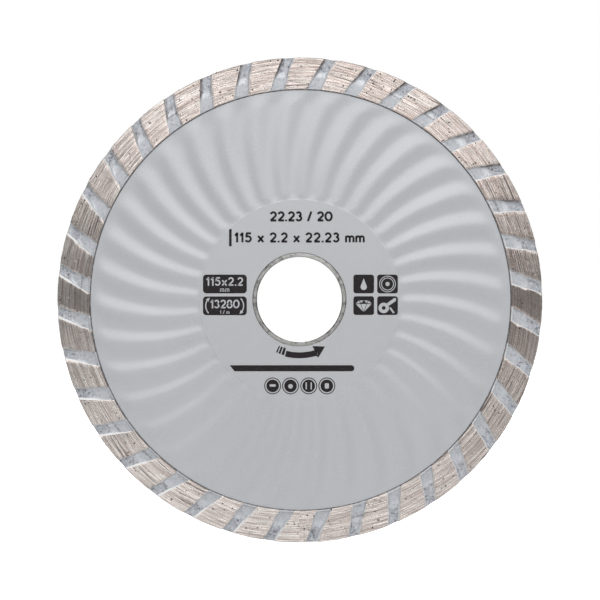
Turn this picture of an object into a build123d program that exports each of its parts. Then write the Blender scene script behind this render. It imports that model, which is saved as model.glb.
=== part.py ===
from build123d import *
import math
import os

# Everything is modelled flat: the printed face looks along local +Z and local +Y is the
# top of the blade. stand_up() then turns it upright, so the blade spins about +Y and its
# printed face looks towards -Y. Lengths are in mm and angles in degrees, clockwise from
# the top of the printed face.

blade_diameter = 115.0
rim_thickness = 2.2
rim_height = 7.5
rim_edge_chamfer = 0.12

core_thickness = 1.2
core_bore_diameter = 22.23
core_edge_radius = 54.0
clamp_zone_radius = 23.7

wave_count = 36
wave_height = 0.15
wave_crest_angle = 1.7
wave_arc_radius = 46.0
wave_arc_start = 26.0
wave_row_radii = [clamp_zone_radius, 24.8, 27.5, 31.5, 35.5, 39.5, 43.0, 46.0, 48.0, 49.6]
wave_row_shares = [0.0, 1.0, 1.05, 1.05, 1.05, 1.05, 1.0, 0.6, 0.0, 0.0]
wave_column_shares = [1.0, 1.0, -2.2, -2.2, 1.0, 1.0]

groove_count = 36
groove_inner_radius = 50.6
groove_run_out = 0.8
groove_inner_angle = 3.96
groove_outer_angle = 7.49
groove_inner_width = 2.8
groove_outer_width = 2.5
groove_floor = 0.45
groove_draft = 0.1

ring_bore_diameter = 20.0
ring_width = 1.2
ring_clearance = 0.02
ring_chamfer = 0.12

grit_per_land = 2
grit_edge_count = 36
grit_sizes = [0.36, 0.40, 0.44]
grit_depth_share = 0.46
grit_tilt = 18.0
grit_corner_lift = 0.7071067812
grit_corner_reach = 0.62
grit_margin = 0.9
grit_first_step = 0.6180339887
grit_second_step = 0.7548776662

print_thickness = 0.02
value_box_size = (10.4, 4.45)
value_box_corner = 0.8
value_box_centres = [(-17.7, 3.68), (-17.7, -1.5)]
icon_size = (4.9, 4.45)
icon_corner = 0.5
icon_window_radius = 1.3
icon_centres = [(15.25, 3.68), (20.85, 3.68), (15.25, -1.45), (20.85, -1.45)]
note_centres = [(-6.36, -20.5), (-2.12, -20.5), (2.2, -20.5), (6.5, -20.5)]
note_radius = 2.0
note_line = 0.3
arrow_radius = 13.3
arrow_width = 1.2
arrow_tip_angle = 153.0
arrow_neck_angle = 164.5
arrow_tail_angle = 196.0
arrow_head_width = 3.0
arrow_dash_angles = [198.2, 201.8, 205.4]
arrow_dash_span = 1.8
bar_outline = [(-16.55, -15.6), (12.98, -15.6), (12.98, -17.05), (-15.4, -17.05)]
heading_bar_size = (0.6, 4.1)
heading_bar_centre = (-16.4, 14.65)

blade_radius = blade_diameter / 2
rim_inner_radius = blade_radius - rim_height
half_rim = rim_thickness / 2
half_core = core_thickness / 2
wave_pitch = 360 / wave_count
groove_pitch = 360 / groove_count


def polar(radius, angle):
    turn = math.radians(angle)
    return (radius * math.sin(turn), radius * math.cos(turn))


def stand_up(shape):
    return Plane.XZ.location * shape


def turned(shape, angle):
    return Rotation(0, 0, -angle) * shape


def disc(radius, thickness):
    return Cylinder(radius, thickness)


# Steel core: a flat clamping zone, curved pressed waves, and a flat band under the rim


def wave_lean(radius):
    """Angle by which a wave's arc has left the radial line it starts on."""
    if radius <= wave_arc_start:
        return 0.0
    across = 2 * wave_arc_radius ** 2
    along = 2 * wave_arc_radius * wave_arc_start
    rise = radius ** 2 - wave_arc_start ** 2
    arc = math.atan2(across, along) + math.asin((rise - across) / math.hypot(across, along))
    sideways = wave_arc_radius * (1 - math.cos(arc))
    outwards = wave_arc_start + wave_arc_radius * math.sin(arc)
    return math.degrees(math.atan2(sideways, outwards))


def wave_patch():
    """One wave of the sheet's surface, from crest to crest, about the sheet's middle."""
    last_column = len(wave_column_shares) - 1
    rows = []
    for radius, row_share in zip(wave_row_radii, wave_row_shares):
        row = []
        for column, column_share in enumerate(wave_column_shares):
            angle = wave_crest_angle + wave_lean(radius) + wave_pitch * column / last_column
            height = wave_height * row_share * column_share
            row.append((*polar(radius, angle), height))
        rows.append(row)
    return Face.make_bezier_surface(rows)


def ring_face(outer_wire, inner_wire, height):
    return Pos(0, 0, height) * Face(outer_wire, [inner_wire])


def wall_face(radius):
    circle = Pos(0, 0, -half_core) * Edge.make_circle(radius)
    return Face.extrude(circle, (0, 0, core_thickness))


def edge_radius(edge):
    middle = edge @ 0.5
    return math.hypot(middle.X, middle.Y)


def make_steel_core():
    patches = [turned(wave_patch(), wave_pitch * index) for index in range(wave_count)]
    inner_edges = [min(patch.edges(), key=edge_radius) for patch in patches]
    outer_edges = [max(patch.edges(), key=edge_radius) for patch in patches]
    inner_wire = Wire(inner_edges)
    outer_wire = Wire(outer_edges)
    bore_wire = Wire(Edge.make_circle(core_bore_diameter / 2))
    edge_wire = Wire(Edge.make_circle(core_edge_radius))
    faces = [wall_face(core_bore_diameter / 2), wall_face(core_edge_radius)]
    for height in (half_core, -half_core):
        faces.append(ring_face(inner_wire, bore_wire, height))
        faces.append(ring_face(edge_wire, outer_wire, height))
        faces.extend(Pos(0, 0, height) * patch for patch in patches)
    return Solid(Shell(faces))


# Turbo rim: a sintered ring around the core's edge, with slanted grooves on both faces


def groove_outline(height, grow):
    inner_half = math.degrees((groove_inner_width / 2 + grow) / groove_inner_radius)
    outer_radius = blade_radius + groove_run_out
    outer_half = math.degrees((groove_outer_width / 2 + grow) / outer_radius)
    inner_radius = groove_inner_radius - grow
    corners = [
        polar(inner_radius, groove_inner_angle - inner_half),
        polar(outer_radius, groove_outer_angle - outer_half),
        polar(outer_radius, groove_outer_angle + outer_half),
        polar(inner_radius, groove_inner_angle + inner_half),
    ]
    return Pos(0, 0, height) * Face(Wire.make_polygon([(x, y, 0) for x, y in corners]))


def make_turbo_rim():
    ring = disc(blade_radius, rim_thickness) - disc(rim_inner_radius, rim_thickness)
    ring = chamfer(ring.edges().filter_by(GeomType.CIRCLE), rim_edge_chamfer)
    ring -= disc(core_edge_radius, core_thickness)
    mouth_height = 2 * half_rim - groove_floor
    front_groove = loft([groove_outline(groove_floor, 0), groove_outline(mouth_height, groove_draft)])
    back_groove = turned(mirror(front_groove, Plane.XY), groove_pitch / 2)
    cutters = []
    for index in range(groove_count):
        cutters.append(turned(front_groove, groove_pitch * index))
        cutters.append(turned(back_groove, groove_pitch * index))
    return ring - cutters


# Diamond grit: crystals half buried in the lands and in the rim's outer edge


def crystal(size):
    """A cube with its eight corners cut off, as a sound crystal grows."""
    solid = Box(size, size, size)
    for quarter in range(4):
        for tip in (1, -1):
            corner = Vector(1, 0, tip).rotate(Axis.Z, 45 + 90 * quarter)
            reach = Vector(corner.X, corner.Y, tip * grit_corner_lift).normalized()
            cut = Plane(origin=reach * size * grit_corner_reach, z_dir=reach)
            solid = split(solid, cut, keep=Keep.BOTTOM)
    return solid


def crystal_turn(step):
    """A full spin and two small tilts, different for each crystal."""
    tilt_x = grit_tilt * (2 * (step * grit_second_step % 1) - 1)
    tilt_y = grit_tilt * (2 * (step * grit_first_step % 1) - 1)
    return Rotation(tilt_x, tilt_y, 73.0 * step)


def land_spot(index, step):
    """Radius and angle, from a groove's middle line, of a crystal on the land beside it."""
    along = (step * grit_first_step) % 1
    across = (step * grit_second_step) % 1
    radius = groove_inner_radius + (blade_radius - grit_margin - groove_inner_radius) * along
    slant = (groove_outer_angle - groove_inner_angle) / (blade_radius - groove_inner_radius)
    groove_angle = groove_inner_angle + slant * (radius - groove_inner_radius)
    free_angle = groove_pitch - math.degrees((groove_inner_width + 2 * grit_margin) / radius)
    offset = groove_pitch / 2 + free_angle * (across - 0.5)
    return radius, groove_angle + offset + groove_pitch * index


def make_diamond_grit():
    shapes = [crystal(size) for size in grit_sizes]
    depths = [size * grit_depth_share for size in grit_sizes]
    crystals = []
    step = 0
    for side in (1, -1):
        side_shift = 0 if side > 0 else groove_pitch / 2
        for index in range(groove_count * grit_per_land):
            step += 1
            pick = step % len(shapes)
            radius, angle = land_spot(index, step)
            x, y = polar(radius, angle + side_shift)
            place = Pos(x, y, side * (half_rim - depths[pick])) * crystal_turn(step)
            crystals.append(place * shapes[pick])
    for index in range(grit_edge_count):
        step += 1
        pick = step % len(shapes)
        place = Pos(0, blade_radius - depths[pick], 0) * Rotation(90, 0, 0) * crystal_turn(step)
        crystals.append(turned(place * shapes[pick], 360 * index / grit_edge_count))
    return Compound(crystals)


# Reducing ring: sits in the core's bore and takes it down to the smaller spindle


def make_reducing_ring():
    outer_radius = core_bore_diameter / 2 - ring_clearance
    ring = disc(outer_radius, ring_width) - disc(ring_bore_diameter / 2, ring_width)
    return chamfer(ring.edges().filter_by(GeomType.CIRCLE), ring_chamfer)


# Face print: plain ink shapes let into the clamping zone, level with the steel


def arc_band(radius, width, start, end, point_count=12):
    step = (end - start) / point_count
    angles = [start + step * index for index in range(point_count + 1)]
    outer = [polar(radius + width / 2, angle) for angle in angles]
    inner = [polar(radius - width / 2, angle) for angle in reversed(angles)]
    return Polygon(*outer, *inner, align=None)


def make_face_print():
    shapes = []
    for centre in value_box_centres:
        shapes.append(Pos(*centre) * RectangleRounded(*value_box_size, value_box_corner))
    for centre in icon_centres:
        window = Circle(icon_window_radius)
        shapes.append(Pos(*centre) * (RectangleRounded(*icon_size, icon_corner) - window))
    for centre in note_centres:
        shapes.append(Pos(*centre) * (Circle(note_radius) - Circle(note_radius - note_line)))
    shapes.append(arc_band(arrow_radius, arrow_width, arrow_neck_angle, arrow_tail_angle))
    for angle in arrow_dash_angles:
        shapes.append(arc_band(arrow_radius, arrow_width, angle, angle + arrow_dash_span))
    head = [
        polar(arrow_radius, arrow_tip_angle),
        polar(arrow_radius + arrow_head_width / 2, arrow_neck_angle),
        polar(arrow_radius - arrow_head_width / 2, arrow_neck_angle),
    ]
    shapes.append(Polygon(*head, align=None))
    shapes.append(Polygon(*bar_outline, align=None))
    shapes.append(Pos(*heading_bar_centre) * Rectangle(*heading_bar_size))
    marks = [extrude(shape, print_thickness, dir=(0, 0, 1)) for shape in shapes]
    base = Pos(0, 0, half_core - print_thickness)
    return Compound([base * solid for mark in marks for solid in mark.solids()])


def main():
    os.makedirs("parts", exist_ok=True)
    face_print = make_face_print()
    nodes = {
        "steel_core": make_steel_core() - face_print.solids(),
        "turbo_rim": make_turbo_rim(),
        "diamond_grit": make_diamond_grit(),
        "reducing_ring": make_reducing_ring(),
        "face_print": face_print,
    }
    for name, shape in nodes.items():
        export_step(stand_up(shape), f"parts/{name}.step")


main()
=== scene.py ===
import bpy
import bmesh
import math
from mathutils import Matrix, Vector, noise


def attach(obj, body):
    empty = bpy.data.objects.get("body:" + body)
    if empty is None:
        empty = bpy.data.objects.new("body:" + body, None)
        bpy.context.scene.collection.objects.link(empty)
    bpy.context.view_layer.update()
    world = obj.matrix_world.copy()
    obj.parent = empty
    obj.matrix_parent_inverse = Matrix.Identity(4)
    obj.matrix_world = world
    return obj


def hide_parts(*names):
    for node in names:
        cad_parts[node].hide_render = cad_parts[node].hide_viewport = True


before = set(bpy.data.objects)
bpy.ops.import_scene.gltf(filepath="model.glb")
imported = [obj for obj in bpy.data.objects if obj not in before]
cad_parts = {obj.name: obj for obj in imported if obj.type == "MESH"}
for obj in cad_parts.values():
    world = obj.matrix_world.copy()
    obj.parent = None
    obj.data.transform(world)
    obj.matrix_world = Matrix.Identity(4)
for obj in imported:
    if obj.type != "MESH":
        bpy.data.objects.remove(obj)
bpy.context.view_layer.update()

scene = bpy.context.scene
mm = 0.001


# camera, straight in front of the printed face

cameraSetup = {
    "lens": 100.0,
    "sensor": 36.0,
    "distance": 396.1,
    "across": 0.13,
    "up": -0.12,
    "near": 0.01,
    "far": 20.0,
}


def makeCamera():
    data = bpy.data.cameras.new("frontCamera")
    data.lens = cameraSetup["lens"]
    data.sensor_width = cameraSetup["sensor"]
    data.clip_start = cameraSetup["near"]
    data.clip_end = cameraSetup["far"]
    camera = bpy.data.objects.new("frontCamera", data)
    scene.collection.objects.link(camera)
    place = (cameraSetup["across"], -cameraSetup["distance"], cameraSetup["up"])
    camera.location = Vector(place) * mm
    camera.rotation_euler = (math.radians(90), 0, 0)
    scene.camera = camera


makeCamera()
scene.view_settings.view_transform = "Standard"
print("camera ready")


# small toolkit for node materials

class Signal:
    def __init__(self, finish, socket):
        self.finish = finish
        self.socket = socket

    def math(self, operation, *others):
        sockets = {0: self}
        for index, other in enumerate(others):
            sockets[index + 1] = other
        return self.finish.add("ShaderNodeMath", {"operation": operation}, sockets)[0]

    def swapped(self, operation, other):
        return self.finish.add("ShaderNodeMath", {"operation": operation}, {0: other, 1: self})[0]

    def __add__(self, other):
        return self.math("ADD", other)

    def __radd__(self, other):
        return self.swapped("ADD", other)

    def __sub__(self, other):
        return self.math("SUBTRACT", other)

    def __rsub__(self, other):
        return self.swapped("SUBTRACT", other)

    def __mul__(self, other):
        return self.math("MULTIPLY", other)

    def __rmul__(self, other):
        return self.swapped("MULTIPLY", other)

    def __truediv__(self, other):
        return self.math("DIVIDE", other)

    def __rtruediv__(self, other):
        return self.swapped("DIVIDE", other)

    def __pow__(self, other):
        return self.math("POWER", other)

    def between(self, low, high):  # 0 below low, 1 above high, smooth in the middle
        sockets = {"Value": self, "From Min": low, "From Max": high}
        return self.finish.add("ShaderNodeMapRange", {"interpolation_type": "SMOOTHSTEP"}, sockets)[0]


class Finish:
    def __init__(self, name, owner=None):
        self.material = owner or bpy.data.materials.new(name)
        self.material.use_nodes = True
        self.tree = self.material.node_tree
        self.tree.nodes.clear()

    def add(self, kind, settings=None, sockets=None):  # returns the node's outputs as signals
        node = self.tree.nodes.new(kind)
        for key, value in (settings or {}).items():
            setattr(node, key, value)
        for key, value in (sockets or {}).items():
            target = node.inputs[key]
            if isinstance(value, Signal):
                self.tree.links.new(value.socket, target)
            else:
                target.default_value = value
        return [Signal(self, socket) for socket in node.outputs]

    def place(self):  # object coordinates
        return self.add("ShaderNodeTexCoord")[3]

    def sideways(self, vector, middle, start, end):  # 0 in the middle, 1 well to the left or right
        return (self.parts(vector)[0] - middle).math("ABSOLUTE").between(start, end)

    def background(self):  # 1 for camera, mirror and glass rays, then 1 for mirror rays alone
        path = self.add("ShaderNodeLightPath")
        camera, glossy, glass = path[0], path[3], path[6]
        return camera.math("MAXIMUM", glossy).math("MAXIMUM", glass), glossy

    def parts(self, vector):
        return self.add("ShaderNodeSeparateXYZ", None, {0: vector})

    def joined(self, x, y, z):
        return self.add("ShaderNodeCombineXYZ", None, {0: x, 1: y, 2: z})[0]

    def cloud(self, vector, scale, detail=2.0, roughness=0.5):
        sockets = {"Vector": vector, "Scale": scale, "Detail": detail, "Roughness": roughness}
        return self.add("ShaderNodeTexNoise", {"noise_dimensions": "3D"}, sockets)[0]

    def cells(self, vector, scale):
        sockets = {"Vector": vector, "Scale": scale, "Randomness": 1.0}
        return self.add("ShaderNodeTexVoronoi", {"feature": "F1"}, sockets)

    def blend(self, factor, first, second):
        sockets = {0: factor, 6: first, 7: second}
        return self.add("ShaderNodeMix", {"data_type": "RGBA", "blend_type": "MIX"}, sockets)[2]

    def bump(self, height, distance):
        sockets = {"Height": height, "Distance": distance, "Strength": 1.0}
        return self.add("ShaderNodeBump", None, sockets)[0]

    def surface(self, sockets):
        shader = self.add("ShaderNodeBsdfPrincipled", None, sockets)[0]
        self.add("ShaderNodeOutputMaterial", None, {"Surface": shader})
        return self.material


# where the grooves lie, shared by the rim's shape and its finishes (mm and degrees)

rimGrooves = {
    "count": 36,
    "pitch": 10.0,
    "startAngle": 3.96,
    "startRadius": 50.6,
    "leanPerMm": 0.49,
}


def polarParts(finish):  # place, its three parts, distance from the spin axis, clockwise turn from the top
    place = finish.place()
    x, y, z = finish.parts(place)[:3]
    radius = (x * x + z * z) ** 0.5
    angle = x.math("ARCTAN2", z)
    return place, x, y, z, radius, angle


# the whole part of the pitch counts the grooves, its fraction runs from one groove to the next

def rimPitch(radius, angle, y):
    lean = (radius - rimGrooves["startRadius"] * mm) * rimGrooves["leanPerMm"] / mm
    lean = lean + rimGrooves["startAngle"]
    backSide = y.math("GREATER_THAN", 0.0)
    return (angle * (180 / math.pi) - lean) / rimGrooves["pitch"] - backSide * 0.5, backSide


# finishes

paintLook = {
    "colour": (0.408, 0.414, 0.429, 1),
    "shade": (0.378, 0.384, 0.399, 1),
    "lip": (0.402, 0.418, 0.44, 1),
    "lipRadius": 0.0487,
    "metal": 0.05,
    "roughness": 0.27,
}


def makeSilverPaint():
    finish = Finish("silverPaint")
    place, x, y, z, radius, angle = polarParts(finish)
    broad = finish.cloud(place, 45.0, 3.0)
    peel = finish.cloud(place, 700.0, 2.0)
    fleck = finish.cloud(place, 6500.0, 1.0)
    mix = broad.between(0.3, 0.7) * 0.35 + fleck.between(0.35, 0.75) * 0.4
    lip = radius.between(paintLook["lipRadius"], paintLook["lipRadius"] + 0.0004) * 0.7
    colour = finish.blend(mix, paintLook["colour"], paintLook["shade"])
    colour = finish.blend(lip, colour, paintLook["lip"])
    height = peel * 0.8 + fleck * 0.08
    return finish.surface({
        "Base Color": colour,
        "Roughness": broad * 0.05 + (fleck * 0.05 + (paintLook["roughness"] - 0.05)),
        "Metallic": paintLook["metal"],
        "IOR": 1.5,
        "Normal": finish.bump(height, 0.0000025),
    })


landLook = {
    "light": (0.443, 0.418, 0.398, 1),
    "deep": (0.20, 0.15, 0.132, 1),
    "scratch": (0.045, 0.034, 0.03, 1),
    "pit": (0.02, 0.015, 0.013, 1),
    "metal": 0.86,
    "roughness": 0.13,
    "ridge": 0.00004,
}


def makeGroundBond():
    finish = Finish("groundBond")
    place, x, y, z, radius, angle = polarParts(finish)
    pitch, backSide = rimPitch(radius, angle, y)
    land = pitch.math("FLOOR")
    across = pitch.math("FRACT") - 0.5
    number = finish.joined(land, backSide, 0.0)
    dice = finish.add("ShaderNodeTexWhiteNoise", {"noise_dimensions": "2D"}, {"Vector": number})
    second = finish.parts(dice[1])[1]
    track = radius + across * ((dice[0] - 0.42) * 0.0016)  # each land is ground at its own slight slant
    shift = dice[0] * 3.0
    micro = finish.cloud(finish.joined(angle * 7.0, track * 15000.0, shift), 1.0, 1.0, 0.6)
    streak = finish.cloud(finish.joined(angle * 2.6, track * 4700.0, shift), 1.0, 2.0, 0.7)
    wide = finish.cloud(finish.joined(angle * 3.0, track * 800.0, shift + 2.0), 1.0, 1.0, 0.5)
    thin = finish.cloud(finish.joined(angle * 5.5, track * 3300.0, shift + 7.0), 1.0, 1.0, 0.5)
    scratch = (1.0 - thin.between(0.33, 0.41)) * wide.between(0.36, 0.54) * second.between(0.0, 0.6)
    grain = finish.cloud(place, 3800.0, 2.0, 0.6)
    bend = finish.add("ShaderNodeTexNoise", None, {"Vector": place, "Scale": 3200.0})[1]
    bend = finish.add("ShaderNodeVectorMath", {"operation": "SCALE"}, {0: bend, 3: 0.9})[0]
    spot = finish.joined(angle * 62.0, track * 1300.0, backSide * 9.0)
    spot = finish.add("ShaderNodeVectorMath", {"operation": "ADD"}, {0: spot, 1: bend})[0]
    pitCell = finish.cells(spot, 1.0)
    crowd = finish.cloud(place, 240.0, 1.0).between(0.40, 0.62)
    pitPick = (finish.parts(pitCell[1])[0] + crowd * 0.16).math("GREATER_THAN", 0.90)
    pit = (1.0 - pitCell[0].between(0.14, 0.27)) * pitPick
    wearAndSideShade = x * 1.2 + z * 1.3 + 0.10  # painted shade: the bond is a little darker towards the top right, away from the light
    tone = (1.0 - streak.between(0.34, 0.66)) * 0.48 + (1.0 - wide) * 0.16
    tone = tone + grain.between(0.4, 0.8) * 0.2 + wearAndSideShade
    colour = finish.blend(tone.between(0.0, 1.0), landLook["light"], landLook["deep"])
    colour = finish.blend(scratch * 0.78, colour, landLook["scratch"])
    colour = finish.blend(pit, colour, landLook["pit"])
    height = micro + streak * 0.18 - scratch * 0.5 - pit * 3.0 + grain * 0.06
    return finish.surface({
        "Base Color": colour,
        "Roughness": landLook["roughness"] + pit * 0.35 + scratch * 0.2,
        "Metallic": landLook["metal"] - pit * 0.5,
        "Normal": finish.bump(height, landLook["ridge"]),
    })


grooveLook = {
    "paint": (0.385, 0.399, 0.424, 1),
    "pale": (0.50, 0.515, 0.54, 1),
    "rough": (0.29, 0.306, 0.338, 1),
    "dark": (0.05, 0.048, 0.055, 1),
    "lit": (0.72, 0.715, 0.71, 1),
    "tornBondAndShade": (0.075, 0.056, 0.052, 1),
    "step": 0.0541,
}


def makeGroovePaint():
    finish = Finish("groovePaint")
    place, x, y, z, radius, angle = polarParts(finish)
    pitch, backSide = rimPitch(radius, angle, y)
    early = pitch.math("FRACT").math("GREATER_THAN", 0.5)
    number = finish.joined((pitch + 0.5).math("FLOOR"), backSide, 3.0)
    dice = finish.add("ShaderNodeTexWhiteNoise", {"noise_dimensions": "3D"}, {"Vector": number})
    smearPlace, smearPick = finish.parts(dice[1])[:2]
    broad = finish.cloud(place, 700.0, 3.0, 0.6)
    grain = finish.cloud(place, 1700.0, 3.0, 0.7)
    fleck = finish.cloud(place, 1100.0, 2.0, 0.7)
    edge = radius + (broad - 0.5) * 0.0008
    outer = edge.between(grooveLook["step"] - 0.0003, grooveLook["step"] + 0.0004)
    ramp = edge.between(0.0526, 0.0532) * (1.0 - edge.between(0.0539, 0.0547))
    speck = grain.between(0.53, 0.61) * (0.42 + outer * 0.58) * fleck.between(0.42, 0.58)
    smear = (radius - (0.0515 + smearPlace * 0.003)).math("ABSOLUTE") + (broad - 0.5) * 0.0004
    smear = (1.0 - smear.between(0.0001, 0.0004)) * smearPick.math("GREATER_THAN", 0.7)
    smear = smear * grain.between(0.35, 0.5)
    bare = outer * (0.3 + broad.between(0.35, 0.65) * 0.7)
    thick = (1.0 - grain.between(0.36, 0.50)) * (0.55 + outer * 0.3)
    colour = finish.blend(bare, grooveLook["paint"], grooveLook["rough"])
    colour = finish.blend(thick, colour, grooveLook["pale"])
    colour = finish.blend(fleck.between(0.50, 0.62) * 0.4, colour, grooveLook["rough"])
    # pale band on the step: worn paint, with a painted highlight where the step catches the light
    colour = finish.blend(ramp * 0.4, colour, grooveLook["pale"])
    colour = finish.blend((speck * 0.85).math("MAXIMUM", smear * 0.6), colour, grooveLook["dark"])
    # pale paint on the walls, and a painted highlight where they face up
    height = y.math("ABSOLUTE") + outer * 0.00012
    upFacingHighlight = (x * (1.0 - early * 2.0)).between(-0.01, 0.02)
    wall = height.between(0.00063, 0.00078) * radius.between(0.0502, 0.0507)
    colour = finish.blend(wall * (0.45 + upFacingHighlight * 0.5), colour, grooveLook["lit"])
    # bare torn bond and painted shade on the early walls towards the top
    tornBondAndShade = early * radius.between(0.0522, 0.0538) * (x * 0.25 + z * 0.97).between(0.012, 0.040)
    tornBondAndShade = tornBondAndShade * height.between(0.00056, 0.00082) * (0.55 + broad.between(0.35, 0.6) * 0.45)
    colour = finish.blend(tornBondAndShade * 0.92, colour, grooveLook["tornBondAndShade"])
    return finish.surface({
        "Base Color": colour,
        "Roughness": 0.38 + outer * 0.15,
        "Metallic": 0.08 + ramp * 0.2,
        "Normal": finish.bump(grain * (0.4 + outer * 0.8) + broad * outer * 1.6, 0.00005),
    })


edgeLook = {"light": (0.33, 0.285, 0.26, 1), "dark": (0.10, 0.08, 0.072, 1)}


def makeEdgeBond():
    finish = Finish("edgeBond")
    place = finish.place()
    broad = finish.cloud(place, 900.0, 3.0, 0.6)
    grain = finish.cloud(place, 4500.0, 3.0, 0.7)
    tone = (broad * 0.5 + grain * 0.6).between(0.35, 0.75)
    return finish.surface({
        "Base Color": finish.blend(tone, edgeLook["light"], edgeLook["dark"]),
        "Roughness": 0.5 + grain * 0.2,
        "Metallic": 0.55,
        "Normal": finish.bump(grain + broad, 0.00006),
    })


seamLook = {"colour": (0.09, 0.084, 0.087, 1), "dust": (0.29, 0.275, 0.27, 1)}


def makeSeamShade():
    finish = Finish("seamShade")
    place = finish.place()
    dust = finish.cloud(place, 1400.0, 3.0, 0.6)
    return finish.surface({
        "Base Color": finish.blend(dust.between(0.45, 0.75), seamLook["colour"], seamLook["dust"]),
        "Roughness": 0.6 + dust * 0.2,
        "Normal": finish.bump(dust, 0.00003),
    })


steelLook = {"light": (0.265, 0.262, 0.255, 1), "dark": (0.09, 0.086, 0.082, 1)}


def makeTurnedSteel():
    finish = Finish("turnedSteel")
    place, x, y, z, radius, angle = polarParts(finish)
    lines = finish.cloud(finish.joined(angle * 3.0, radius * 9000.0, y * 9000.0), 1.0, 2.0, 0.6)
    arcs = finish.cloud(finish.joined(angle * 5.0, radius * 2600.0, y * 2600.0), 1.0, 2.0, 0.6)
    blotch = finish.cloud(place, 900.0, 3.0, 0.65)
    stain = blotch.between(0.48, 0.64) * 0.75 + arcs.between(0.45, 0.7) * 0.5
    colour = finish.blend((stain + lines * 0.25).between(0.0, 1.3), steelLook["light"], steelLook["dark"])
    return finish.surface({
        "Base Color": colour,
        "Roughness": 0.36 + lines * 0.16,
        "Metallic": 0.9,
        "Normal": finish.bump(lines + blotch * 1.4 + arcs, 0.00004),
    })


inkLook = {"colour": (0.0165, 0.0135, 0.0145, 1), "worn": (0.05, 0.046, 0.05, 1)}


def makePrintInk():
    finish = Finish("printInk")
    place = finish.place()
    wearAndSideShade = finish.cloud(place, 2600.0, 3.0, 0.6)
    return finish.surface({
        "Base Color": finish.blend(wearAndSideShade.between(0.52, 0.75) * 0.6, inkLook["colour"], inkLook["worn"]),
        "Roughness": 0.6 + wearAndSideShade * 0.15,
        "Specular IOR Level": 0.12,
        "Normal": finish.bump(wearAndSideShade, 0.000004),
    })


crystalLook = {"amber": (0.10, 0.07, 0.035, 1), "smoke": (0.03, 0.024, 0.02, 1)}


def makeCrystal():
    finish = Finish("crystal")
    place = finish.place()
    tint = finish.cloud(place, 350.0, 2.0)
    facet = finish.cloud(place, 6000.0, 2.0)
    return finish.surface({
        "Base Color": finish.blend(tint.between(0.35, 0.65), crystalLook["amber"], crystalLook["smoke"]),
        "Roughness": 0.12 + facet * 0.2,
        "IOR": 2.2,
        "Normal": finish.bump(facet, 0.000008),
    })


silverPaint = makeSilverPaint()
groundBond = makeGroundBond()
groovePaint = makeGroovePaint()
edgeBond = makeEdgeBond()
seamShade = makeSeamShade()
turnedSteel = makeTurnedSteel()
printInk = makePrintInk()
crystal = makeCrystal()
print("finishes ready")


# shared making steps

def finishPiece(name, mesh, materials, node, body="blade"):
    piece = bpy.data.objects.new(name, mesh)
    scene.collection.objects.link(piece)
    for material in materials:
        mesh.materials.append(material)
    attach(piece, body)
    if node:
        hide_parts(node)
    print("made", name, len(mesh.polygons), "faces")


def spunProfile(profile, steps):  # closed (radius, y) outline in mm, turned about the spin axis
    shape = bmesh.new()
    ring = [shape.verts.new((0, y * mm, radius * mm)) for radius, y in profile]
    edges = [shape.edges.new((ring[i], ring[(i + 1) % len(ring)])) for i in range(len(ring))]
    bmesh.ops.spin(shape, geom=ring + edges, cent=(0, 0, 0), axis=(0, 1, 0), dvec=(0, 0, 0),
                   angle=math.tau, steps=steps, use_merge=True, use_duplicate=False)
    return shape


def closedMesh(name, shape, smoothAngle):
    bmesh.ops.recalc_face_normals(shape, faces=shape.faces[:])
    for face in shape.faces:
        face.smooth = True
    for edge in shape.edges:
        edge.smooth = edge.calc_face_angle(0.0) < math.radians(smoothAngle)
    mesh = bpy.data.meshes.new(name)
    shape.to_mesh(mesh)
    shape.free()
    return mesh


def smoothStep(low, high, value):
    share = min(max((value - low) / (high - low), 0.0), 1.0)
    return share * share * (3 - 2 * share)


# steel core with its pressed waves

coreSheet = {
    "boreRadius": 11.115,
    "edgeRadius": 52.5,
    "half": 0.6,
    "boreBevel": 0.1,
    "clampRadius": 23.7,
    "clampStep": 0.024,
    "stepWidth": 0.16,
    "riseWidth": 1.5,
    "growEnd": 38.0,
    "stepFade": 40.0,
    "waveEnd": 49.9,
    "fadeStart": 46.2,
    "waveCount": 36,
    "crestAngle": 1.7,
    "arcRadius": 46.0,
    "arcStart": 26.0,
    "height": 0.134,
    "steps": 864,
    "stepRadii": [23.5, 23.68, 23.74, 23.80, 23.87, 24.0],
    "riseRows": (24.2, 0.2, 7),  # first radius, gap, count
    "waveRows": (25.8, 0.6, 40),
    "lastRadius": 49.7,
}


def waveLean(radius):  # degrees a wave's arc has left the radial line it starts on
    start, arcRadius = coreSheet["arcStart"], coreSheet["arcRadius"]
    if radius <= start:
        return 0.0
    across = 2 * arcRadius ** 2
    along = 2 * arcRadius * start
    rise = radius ** 2 - start ** 2
    arc = math.atan2(across, along) + math.asin((rise - across) / math.hypot(across, along))
    return math.degrees(math.atan2(arcRadius * (1 - math.cos(arc)), start + arcRadius * math.sin(arc)))


def waveShift(radius, angle):
    clamp, end = coreSheet["clampRadius"], coreSheet["waveEnd"]
    if radius <= clamp or radius >= end:
        return 0.0
    drop = smoothStep(clamp, clamp + coreSheet["stepWidth"], radius)
    rise = 0.25 * drop + 0.75 * smoothStep(clamp, clamp + coreSheet["riseWidth"], radius)
    grow = 0.6 + 0.4 * smoothStep(clamp, coreSheet["growEnd"], radius)
    fade = 1 - smoothStep(coreSheet["fadeStart"], end, radius)
    turn = coreSheet["waveCount"] * math.radians(angle - coreSheet["crestAngle"] - waveLean(radius))
    step = coreSheet["clampStep"] * drop * (1 - smoothStep(coreSheet["stepFade"], end, radius))
    return coreSheet["height"] * rise * grow * fade * math.cos(turn) - step


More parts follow.
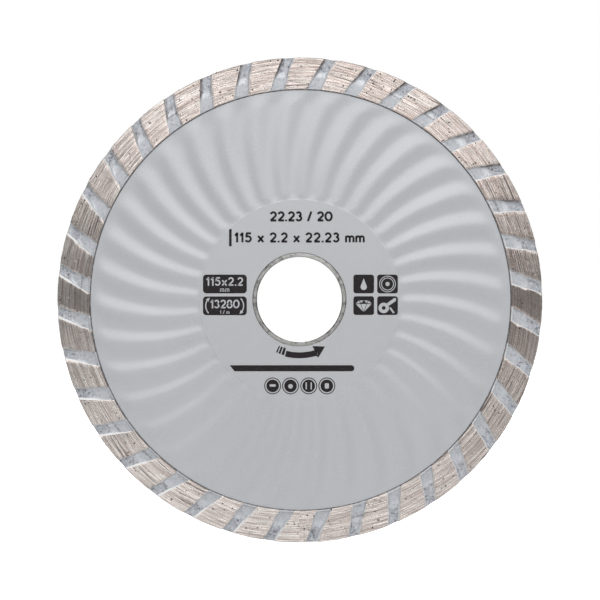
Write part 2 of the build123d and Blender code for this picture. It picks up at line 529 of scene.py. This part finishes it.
def makeCoreSheet():
    bore, half, bevel = coreSheet["boreRadius"], coreSheet["half"], coreSheet["boreBevel"]
    radii = [bore + bevel] + coreSheet["stepRadii"]
    for first, gap, count in (coreSheet["riseRows"], coreSheet["waveRows"]):
        radii += [first + gap * i for i in range(count)]
    radii += [coreSheet["lastRadius"], coreSheet["edgeRadius"]]
    front = [(radius, -half) for radius in radii]
    back = [(radius, half) for radius in reversed(radii)]
    profile = [(bore, -half + bevel)] + front + back + [(bore, half - bevel)]
    shape = spunProfile(profile, coreSheet["steps"])
    for vert in shape.verts:
        radius = math.hypot(vert.co.x, vert.co.z) / mm
        angle = math.degrees(math.atan2(vert.co.x, vert.co.z))
        vert.co.y -= waveShift(radius, angle) * mm
    mesh = closedMesh("coreSheet", shape, smoothAngle=35)
    finishPiece("coreSheet", mesh, [silverPaint], "steel_core")


makeCoreSheet()


# turbo rim: one spun ring, its columns slid into slanted grooves

rimRing = {
    "inner": 50.0,
    "seam": 49.78,
    "outer": 57.5,
    "land": 1.1,
    "coreFace": 0.605,
    "lipRadius": 50.4,
    "innerFloor": 0.62,
    "outerFloor": 0.36,
    "rampStart": 52.8,
    "rampEnd": 54.7,
    "slotRadius": 52.6,
    "columns": 30,
    "early": {"floor": (1.44, 0.50), "wall": (0.20, 1.00)},
    "late": {"floor": (1.42, 0.95), "wall": (0.26, 0.45)},
    "bevel": 0.07,
    "drift": (0.10, 0.16, -0.12),
    "innerRadii": [50.12, 50.34, 50.48, 51.1, 51.8, 52.4, 52.9, 53.3, 53.75],
    "outerRadii": [54.2, 54.7, 55.4, 56.1, 56.8, 57.15, 57.4],
}


def grooveSide(side, role, share, radius):  # distance in mm from the groove's middle line
    along = smoothStep(rimRing["rampStart"] - 0.8, rimRing["rampEnd"], radius)
    spans = (rimRing[side]["floor"], rimRing[side]["wall"])
    floor, wall = [low + (high - low) * along for low, high in spans]
    if role == "floor":
        return floor * share
    return floor + wall * share + (rimRing["bevel"] if role == "bevel" else 0.0)


sideSteps = [
    ("floor", 0.0),
    ("floor", 0.5),
    ("floor", 1.0),
    ("wall", 0.4),
    ("wall", 0.72),
    ("wall", 1.0),
    ("bevel", 1.0),
]


def columnTable():  # side, role and share of each column, from one groove's middle to the next
    table = [("late", role, share) for role, share in sideSteps]
    landCount = rimRing["columns"] - 2 * len(sideSteps) + 1
    table += [("land", "land", (i + 1) / (landCount + 1)) for i in range(landCount)]
    table += [("early", role, share) for role, share in reversed(sideSteps[1:])]
    return table


columnRoles = columnTable()


def columnPlace(column, radius):  # angle past the groove's middle line, then role and share
    side, role, share = columnRoles[column % rimRing["columns"]]
    degrees = math.degrees(1 / radius)
    pitch = rimGrooves["pitch"]
    if side == "late":
        return grooveSide(side, role, share, radius) * degrees, (role, share)
    if side == "early":
        return pitch - grooveSide(side, role, share, radius) * degrees, (role, share)
    start = grooveSide("late", "bevel", 1.0, radius) * degrees
    end = pitch - grooveSide("early", "bevel", 1.0, radius) * degrees
    return start + (end - start) * share, (role, share)


def landHeight(x, z, side):  # worn land with small dips
    place = Vector((x * 0.45, side * 7.0, z * 0.45))
    drop = 0.018 * abs(noise.noise(place)) + 0.010 * abs(noise.noise(place * 3.1))
    return rimRing["land"] - drop


def rimHeight(column, radius, x, z, side):
    role, share = column
    land = landHeight(x, z, side)
    if role == "land":
        return land
    chip = max(0.0, noise.noise(Vector((x * 1.3, side * 3.0, z * 1.3))) - 0.2)
    if role == "bevel":
        return land - 0.02 - chip * 0.2
    top = land - 0.09 - chip * 0.35
    if radius < rimRing["lipRadius"]:
        return land if role == "floor" else top + (land - top) * (1 - share)
    ramp = smoothStep(rimRing["rampStart"], rimRing["rampEnd"], radius)
    rough = 0.05 * noise.noise(Vector((x * 1.1, side * 5.0, z * 1.1))) * ramp
    floor = rimRing["innerFloor"] + (rimRing["outerFloor"] - rimRing["innerFloor"]) * ramp + rough
    return floor if role == "floor" else floor + (top - floor) * share ** 2  # hollow foot, steep top


def rimRows():  # radius, side and kind of each row, round the section from the inner wall
    inner, outer = rimRing["inner"], rimRing["outer"]
    faceRadii = rimRing["innerRadii"] + rimRing["outerRadii"]
    rows = [(inner, -1, "wall"), (inner, -1, "rise")]
    rows += [(radius, -1, "face") for radius in faceRadii]
    rows += [(outer, share, "edge") for share in (-0.9, -0.45, 0.0, 0.45, 0.9)]
    rows += [(radius, 1, "face") for radius in reversed(faceRadii)]
    rows += [(inner, 1, "rise"), (inner, 1, "wall")]
    rows += [(rimRing["slotRadius"], 1, "slot"), (rimRing["slotRadius"], -1, "slot")]
    return rows


def makeRimRing():
    inner, pitch = rimRing["inner"], rimGrooves["pitch"]
    rows = rimRows()
    columns = rimRing["columns"] * rimGrooves["count"]
    rowStep = 0.01  # the row number rides in y until the rows are placed
    profile = [(row[0], index * rowStep) for index, row in enumerate(rows)]
    shape = spunProfile(profile, columns)
    halfPitch = rimRing["columns"] // 2
    rowLayer = shape.verts.layers.int.new("row")
    grooveLayer = shape.verts.layers.int.new("groove")
    for vert in shape.verts:
        index = round(vert.co.y / mm / rowStep)
        radius, side, kind = rows[index]
        turn = math.degrees(math.atan2(vert.co.x, vert.co.z)) % 360
        column = round(turn / 360 * columns) % columns
        base = rimGrooves["startAngle"] + rimGrooves["leanPerMm"] * (radius - rimGrooves["startRadius"])
        frontAngle, frontRole = columnPlace(column, radius)
        frontAngle += column // rimRing["columns"] * pitch
        backColumn = column - halfPitch
        backAngle, backRole = columnPlace(backColumn, radius)
        backAngle += backColumn // rimRing["columns"] * pitch + pitch / 2
        ownRole = frontRole if side < 0 else backRole
        blend = (side + 1) / 2
        angle = math.radians(base + frontAngle + (backAngle - frontAngle) * blend)
        x, z = radius * math.sin(angle), radius * math.cos(angle)
        nick = 0.05 * noise.noise(Vector((x * 0.8, side, z * 0.8)))
        nick += 0.03 * noise.noise(Vector((x * 2.7, side, z * 2.7)))
        if kind == "edge":
            front = rimHeight(frontRole, radius, x, z, -1)
            back = rimHeight(backRole, radius, x, z, 1)
            height = -front * 0.93 + (front + back) * 0.93 * (side / 0.9 + 1) / 2
            radius += nick - 0.05
        elif kind == "face":
            height = side * rimHeight(ownRole, radius, x, z, side)
            if radius > 57.3:
                radius += nick - 0.05
        elif kind == "rise":
            height = side * (rimRing["land"] - 0.1)
        else:
            height = side * rimRing["coreFace"]
            radius = rimRing["seam"] if kind == "wall" else radius
        vert[rowLayer] = index
        vert[grooveLayer] = ownRole[0] != "land"
        driftX, seamDrift, driftZ = rimRing["drift"]  # the pressed ring sits a hair off centre
        driftX += seamDrift * (1 - smoothStep(inner, inner + 4.0, radius))
        vert.co = Vector((radius * math.sin(angle) + driftX, height, radius * math.cos(angle) + driftZ)) * mm
    materials = [groundBond, groovePaint, edgeBond, seamShade]
    for face in shape.faces:
        kinds = {rows[vert[rowLayer]][2] for vert in face.verts}
        if "edge" in kinds:
            face.material_index = materials.index(edgeBond)
        elif kinds == {"wall", "rise"}:
            face.material_index = materials.index(seamShade)
        elif "face" in kinds and all(vert[grooveLayer] for vert in face.verts):
            face.material_index = materials.index(groovePaint)
    mesh = closedMesh("rimRing", shape, smoothAngle=28)
    finishPiece("rimRing", mesh, materials, "turbo_rim")


makeRimRing()


# reducing ring

bushRing = {
    "bore": 10.1,
    "outer": 11.095,
    "half": 0.6,
    "chamfer": 0.2,
    "bevel": 0.09,
    "steps": 288,
}


def makeBushRing():
    bore, outer, half = bushRing["bore"], bushRing["outer"], bushRing["half"]
    chamfer, bevel = bushRing["chamfer"], bushRing["bevel"]
    corner = [(bore, chamfer), (bore + chamfer, 0.0), (outer - bevel * 2.2, 0.0)]
    corner += [(outer - bevel, 0.03), (outer, bevel * 1.4)]
    front = [(radius, -half + inset) for radius, inset in corner]
    back = [(radius, half - inset) for radius, inset in reversed(corner)]
    shape = spunProfile(front + back, bushRing["steps"])
    for vert in shape.verts:
        radius = math.hypot(vert.co.x, vert.co.z) / mm
        if bore + 0.5 < radius < outer - 0.05:  # the outer shoulder is slightly uneven
            wobble = noise.noise(Vector((vert.co.x, 0.001 * vert.co.y, vert.co.z)) * 700)
            vert.co.y *= 1 - 0.09 * max(0.0, wobble)
    mesh = closedMesh("bushRing", shape, smoothAngle=30)
    finishPiece("bushRing", mesh, [turnedSteel], "reducing_ring", "ring")


makeBushRing()


# diamond crystals keep their CAD shape and get their own finish

def dressGrit():
    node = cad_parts["diamond_grit"]
    node.data.materials.clear()
    node.data.materials.append(crystal)
    print("crystals dressed")


dressGrit()


# print on the clamping zone, as flat outlines (x, z in mm)

printMarks = {
    "face": 0.6,
    "ink": 0.016,
    "inkLift": 0.008,
    "bareLift": 0.018,
    "numberBox": (10.4, 4.45, 0.8),
    "numberBoxPlaces": [(-17.7, 3.68), (-17.7, -1.5)],
    "iconBox": (4.9, 4.45, 0.6),
    "iconBoxPlaces": [(15.25, 3.68), (20.9, 3.68), (15.25, -1.45), (20.9, -1.45)],
    "drop": (15.25, 3.6),
    "rings": (20.9, 3.68),
    "gem": (15.25, -1.5),
    "disc": (20.0, -2.0),
    "footRow": -20.5,
    "footPlaces": (-6.36, -2.12, 2.2, 6.5),
}


def roundedBox(cx, cz, width, height, corner):
    points = []
    for sx, sz, start in ((1, 1, 0), (-1, 1, 90), (-1, -1, 180), (1, -1, 270)):
        for step in range(6):
            turn = math.radians(start + 18 * step)
            points.append((cx + sx * (width / 2 - corner) + corner * math.cos(turn),
                           cz + sz * (height / 2 - corner) + corner * math.sin(turn)))
    return points


def circleLine(cx, cz, radius, count=40):
    turns = [math.tau * i / count for i in range(count)]
    return [(cx + radius * math.cos(turn), cz + radius * math.sin(turn)) for turn in turns]


def arcBand(radius, width, start, end, count=16):  # angles clockwise from the top
    angles = [math.radians(start + (end - start) * i / count) for i in range(count + 1)]
    outside, inside = radius + width / 2, radius - width / 2
    outer = [(outside * math.sin(turn), outside * math.cos(turn)) for turn in angles]
    inner = [(inside * math.sin(turn), inside * math.cos(turn)) for turn in reversed(angles)]
    return outer + inner


def moved(points, dx, dz, size=1.0):
    return [(dx + x * size, dz + z * size) for x, z in points]


def dropLine():  # a drop about two units high, point upwards
    points = [(0.0, 1.0)]
    for step in range(13):
        turn = math.radians(35 - 250 * step / 12)
        points.append((0.52 * math.cos(turn), -0.42 + 0.52 * math.sin(turn)))
    return points


gemFacets = [  # from the gem's middle
    [(-1.8, 0.5), (-1.15, 1.15), (-0.75, 0.6)],
    [(-1.0, 1.2), (0.0, 1.2), (-0.55, 0.65)],
    [(0.15, 1.2), (1.0, 1.2), (0.55, 0.65)],
    [(1.15, 1.15), (1.8, 0.5), (0.75, 0.6)],
    [(-1.75, 0.35), (-0.75, 0.4), (-0.12, -1.3)],
    [(-0.6, 0.42), (0.6, 0.42), (0.0, -1.35)],
    [(0.75, 0.4), (1.75, 0.35), (0.12, -1.3)],
]


handleLines = [  # from the disc's middle
    [(0.75, 1.1), (1.2, 0.5), (2.9, 1.65), (2.95, 2.3), (2.5, 2.35)],
    [(1.5, 0.25), (1.8, 0.0), (2.6, -1.1), (2.2, -1.3), (1.35, -0.15)],
]


def boxLines():  # two wide boxes for the numbers and four small ones for the icons
    lines = [roundedBox(*place, *printMarks["numberBox"]) for place in printMarks["numberBoxPlaces"]]
    lines += [roundedBox(*place, *printMarks["iconBox"]) for place in printMarks["iconBoxPlaces"]]
    return lines


def iconLines():  # a drop, rings, a cut gem and a disc with its handle, left bare in their boxes
    lines = [moved(dropLine(), *printMarks["drop"], 1.45)]
    lines += [circleLine(*printMarks["rings"], radius) for radius in (1.97, 1.78, 1.52, 1.33, 0.5)]
    lines += [moved(facet, *printMarks["gem"], 1.05) for facet in gemFacets]
    lines += [circleLine(*printMarks["disc"], 1.25, 28), circleLine(*printMarks["disc"], 0.45, 20)]
    lines += [moved(line, *printMarks["disc"]) for line in handleLines]
    return lines


def footLines():  # four round marks in a row below the bar
    row, places = printMarks["footRow"], printMarks["footPlaces"]
    lines = [circleLine(cx, row, radius) for cx in places for radius in (2.0, 1.78, 1.5)]
    lines += [roundedBox(places[0], row + 0.1, 1.5, 0.55, 0.25), circleLine(places[1], row - 0.1, 0.55, 20)]
    lines += [roundedBox(places[2] + dx, row, 0.3, 1.7, 0.12) for dx in (-0.6, 0.6)]
    lines.append(roundedBox(places[3], row, 1.0, 1.3, 0.3))
    return lines


def arrowLines():  # the curved arrow below the bore, with three short bars behind it
    lines = [arcBand(13.25, 1.4, 161.6, 194.3)]
    tip = [(12.69, 151.5), (14.48, 161.9), (11.45, 164.6)]
    lines.append([(radius * math.sin(math.radians(turn)), radius * math.cos(math.radians(turn)))
                  for radius, turn in tip])
    for start, span in ((195.5, 2.7), (199.3, 2.1), (202.5, 1.5)):
        lines.append(arcBand(12.85, 1.75, start, start + span, 3))
    return lines


def barLine():  # a long bar with a slanted left end and a round right one
    end, low, radius = 12.3, -17.04, 0.72
    turns = [math.radians(degrees) for degrees in range(15, 180, 15)]
    cap = [(end + radius * math.sin(turn), low + radius + radius * math.cos(turn)) for turn in turns]
    return [(-16.55, low + 2 * radius), (end, low + 2 * radius)] + cap + [(end, low), (-15.4, low)]


def makePrint():
    lines = boxLines() + iconLines() + footLines() + arrowLines()
    lines += [barLine(), roundedBox(-16.4, 14.65, 0.62, 4.1, 0.1)]
    curve = bpy.data.curves.new("printOutline", "CURVE")
    curve.dimensions = "2D"
    curve.fill_mode = "BOTH"
    curve.extrude = printMarks["ink"] / 2 * mm
    for line in lines:
        spline = curve.splines.new("POLY")
        spline.points.add(len(line) - 1)
        for point, (x, z) in zip(spline.points, line):
            point.co = (x * mm, z * mm, 0, 1)
        spline.use_cyclic_u = True
    outline = bpy.data.objects.new("printOutline", curve)
    mesh = bpy.data.meshes.new_from_object(outline)
    bpy.data.objects.remove(outline)
    mesh.transform(Matrix.Rotation(math.radians(90), 4, "X"))
    mesh.transform(Matrix.Translation((0, -(printMarks["face"] + printMarks["inkLift"]) * mm, 0)))
    mesh.materials.clear()
    finishPiece("printShapes", mesh, [printInk], "face_print")


numberMarks = [  # name, words, middle x, foot z, height, overall width, stroke, inked or left bare
    ("sizeNumber", "115x2.2", -17.75, 3.25, 2.05, 8.8, 0.34, False),
    ("sizeUnit", "mm", -17.75, 1.85, 1.15, 2.2, 0.17, False),
    ("speedNumber", "13280", -17.7, -2.1, 2.05, 7.0, 0.34, False),
    ("speedUnit", "1/m", -17.75, -3.4, 0.85, 2.3, 0.15, False),
    ("headingNumber", "115 x 2.2 x 22.23 mm", 0.0, 13.5, 2.45, 31.0, 0.50, True),
    ("boreNumber", "22.23 / 20", 0.4, 18.5, 2.45, 15.0, 0.52, True),
]

glyphWidths = {  # width of each mark as a share of its height
    "1": 0.24,
    "2": 0.52,
    "3": 0.50,
    "5": 0.52,
    "8": 0.54,
    "0": 0.60,
    "x": 0.46,
    ".": 0.02,
    "/": 0.34,
    "m": 0.72,
    " ": 0.16,
}


def bowl(cx, cz, rx, rz, start, end, count=14):  # an oval's arc, angles anticlockwise from the right
    angles = [math.radians(start + (end - start) * i / count) for i in range(count + 1)]
    return [(cx + rx * math.cos(turn), cz + rz * math.sin(turn)) for turn in angles]


glyphStrokes = {
    "1": [[(0.8, -0.1), (0.8, 1.1)], [(0.85, 1.0), (-0.1, 0.72)]],
    "2": [bowl(0.5, 0.70, 0.46, 0.30, 168, -30) + [(0.06, 0.0)],
          [(-0.02, 0.0), (1.06, 0.0)]],
    "3": [bowl(0.45, 0.76, 0.40, 0.24, 160, -88), bowl(0.46, 0.27, 0.48, 0.27, 88, -160)],
    "5": [[(0.98, 1.0), (0.14, 1.0)],
          [(0.22, 1.08), (0.10, 0.50)],
          bowl(0.42, 0.32, 0.52, 0.32, 132, -152)],
    "8": [bowl(0.5, 0.76, 0.40, 0.24, -90, 90), bowl(0.5, 0.76, 0.40, 0.24, 90, 270),
          bowl(0.5, 0.27, 0.5, 0.27, -90, 90), bowl(0.5, 0.27, 0.5, 0.27, 90, 270)],
    "0": [bowl(0.5, 0.5, 0.5, 0.5, -90, 90), bowl(0.5, 0.5, 0.5, 0.5, 90, 270)],
    "x": [[(-0.05, -0.06), (1.05, 0.68)], [(-0.05, 0.68), (1.05, -0.06)]],
    ".": [[(0.5, -0.1), (0.5, 0.1)]],
    "/": [[(0.0, -0.1), (1.0, 1.1)]],
    "m": [[(0.0, -0.1), (0.0, 0.68)], bowl(0.25, 0.40, 0.25, 0.24, 180, 0, 8) + [(0.5, -0.1)],
          bowl(0.75, 0.40, 0.25, 0.24, 180, 0, 8) + [(1.0, -0.1)]],
    " ": [],
}


def strokeRibbon(shape, points, startWidth, endWidth):  # a flat band along a line of (x, z) points in mm
    chains = ([], [])
    for index, (x, z) in enumerate(points):
        before, after = points[max(index - 1, 0)], points[min(index + 1, len(points) - 1)]
        along = Vector((after[0] - before[0], after[1] - before[1])).normalized()
        half = (startWidth + (endWidth - startWidth) * index / (len(points) - 1)) / 2
        for chain, side in zip(chains, (half, -half)):
            chain.append(shape.verts.new(((x - along.y * side) * mm, 0, (z + along.x * side) * mm)))
    edges = [shape.edges.new(pair) for chain in chains for pair in zip(chain, chain[1:])]
    bmesh.ops.bridge_loops(shape, edges=edges)


def finishPrint(name, shape, isInk):
    bmesh.ops.recalc_face_normals(shape, faces=shape.faces[:])
    bmesh.ops.solidify(shape, geom=shape.faces[:], thickness=printMarks["ink"] * mm)
    lift = printMarks["face"] + printMarks["inkLift" if isInk else "bareLift"]
    bmesh.ops.translate(shape, verts=shape.verts[:], vec=(0, -lift * mm, 0))
    mesh = closedMesh(name, shape, smoothAngle=20)
    finishPiece(name, mesh, [printInk if isInk else silverPaint], None)


def makeNumbers():
    for name, words, middle, foot, height, width, stroke, isInk in numberMarks:
        shape = bmesh.new()
        bodies = [glyphWidths[letter] * height for letter in words]
        gap = (width - stroke - sum(bodies)) / (len(words) - 1)
        left = middle - (width - stroke) / 2
        for letter, body in zip(words, bodies):
            for line in glyphStrokes[letter]:
                placed = [(left + x * body, foot + stroke / 2 + z * (height - stroke)) for x, z in line]
                strokeRibbon(shape, placed, stroke, stroke)
            left += body + gap
        finishPrint(name, shape, isInk)


speedArrows = {"middle": (-17.75, -1.5), "wide": 4.5, "high": 3.3, "stroke": 0.26, "head": 0.85}


def makeSpeedArrows():  # two curved arrows round the speed number
    shape = bmesh.new()
    cx, cz = speedArrows["middle"]
    for start, end in ((212, 157), (32, -23)):
        line = bowl(cx, cz, speedArrows["wide"], speedArrows["high"], start, end, 12)
        strokeRibbon(shape, line, speedArrows["stroke"], speedArrows["stroke"])
        turn = math.radians(end - 13)
        tip = (cx + 4.35 * math.cos(turn), cz + speedArrows["high"] * math.sin(turn))
        strokeRibbon(shape, [line[-1], tip], speedArrows["head"], 0.02)
    finishPrint("speedArrows", shape, False)


makePrint()
makeNumbers()
makeSpeedArrows()


# floor and light

studio = {
    "floorDrop": 57.65,
    "floorSize": 12.0,
    "floorShade": (0.62, 0.62, 0.62, 1),
    "floorGlow": 0.95,
    "worldLight": 0.25,
    "sideDim": 0.92,
    "panels": {  # place, width and height in metres, then radiance
        "keyPanel": ((0.10, -1.10, 0.44), 1.25, 0.60, 3.65),
        "topPanel": ((-0.12, -0.36, 1.10), 1.2, 0.80, 3.0),
        "backPanel": ((0.10, 1.10, 0.47), 1.6, 0.60, 3.0),
    },
}


def makeFloor():
    shape = bmesh.new()
    bmesh.ops.create_grid(shape, x_segments=2, y_segments=2, size=studio["floorSize"])
    mesh = bpy.data.meshes.new("studioFloor")
    shape.to_mesh(mesh)
    shape.free()
    mesh.transform(Matrix.Translation((0, 0, -studio["floorDrop"] * mm)))
    floor = bpy.data.objects.new("studioFloor", mesh)
    scene.collection.objects.link(floor)
    finish = Finish("studioFloor")
    seen, glossy = finish.background()
    dim = glossy * finish.sideways(finish.place(), -0.010, 0.024, 0.108) * studio["sideDim"]
    matt = finish.add("ShaderNodeBsdfDiffuse", None, {"Color": studio["floorShade"]})[0]
    glow = finish.add("ShaderNodeEmission", None, {"Strength": (1.0 - dim) * studio["floorGlow"]})[0]
    both = finish.add("ShaderNodeAddShader", None, {0: matt, 1: glow})[0]
    shown = finish.add("ShaderNodeMixShader", None, {0: seen, 1: matt, 2: both})[0]
    finish.add("ShaderNodeOutputMaterial", None, {"Surface": shown})
    mesh.materials.append(finish.material)


def makeWorld():  # a white backdrop all round, dimmer in reflections from the left and right
    world = bpy.data.worlds.new("studioWorld")
    scene.world = world
    finish = Finish("studioWorld", world)
    seen, glossy = finish.background()
    direction = finish.add("ShaderNodeTexCoord")[0]
    dim = glossy * finish.sideways(direction, 0.0, 0.04, 0.30) * studio["sideDim"]
    colour = (1, 1, 1, 1)
    plain = finish.add("ShaderNodeBackground", None, {"Color": colour, "Strength": studio["worldLight"]})[0]
    white = finish.add("ShaderNodeBackground", None, {"Color": colour, "Strength": 1.0 - dim})[0]
    shown = finish.add("ShaderNodeMixShader", None, {0: seen, 1: plain, 2: white})[0]
    finish.add("ShaderNodeOutputWorld", None, {"Surface": shown})


def makePanel(name, place, width, height, radiance):
    data = bpy.data.lights.new(name, "AREA")
    data.shape = "RECTANGLE"
    data.size = width
    data.size_y = height
    data.energy = radiance * width * height * math.pi
    lamp = bpy.data.objects.new(name, data)
    scene.collection.objects.link(lamp)
    lamp.location = place
    lamp.rotation_euler = (-Vector(place)).to_track_quat("-Z", "Y").to_euler()


makeFloor()
makeWorld()
for panelName, panel in studio["panels"].items():
    makePanel(panelName, *panel)
print("studio ready")
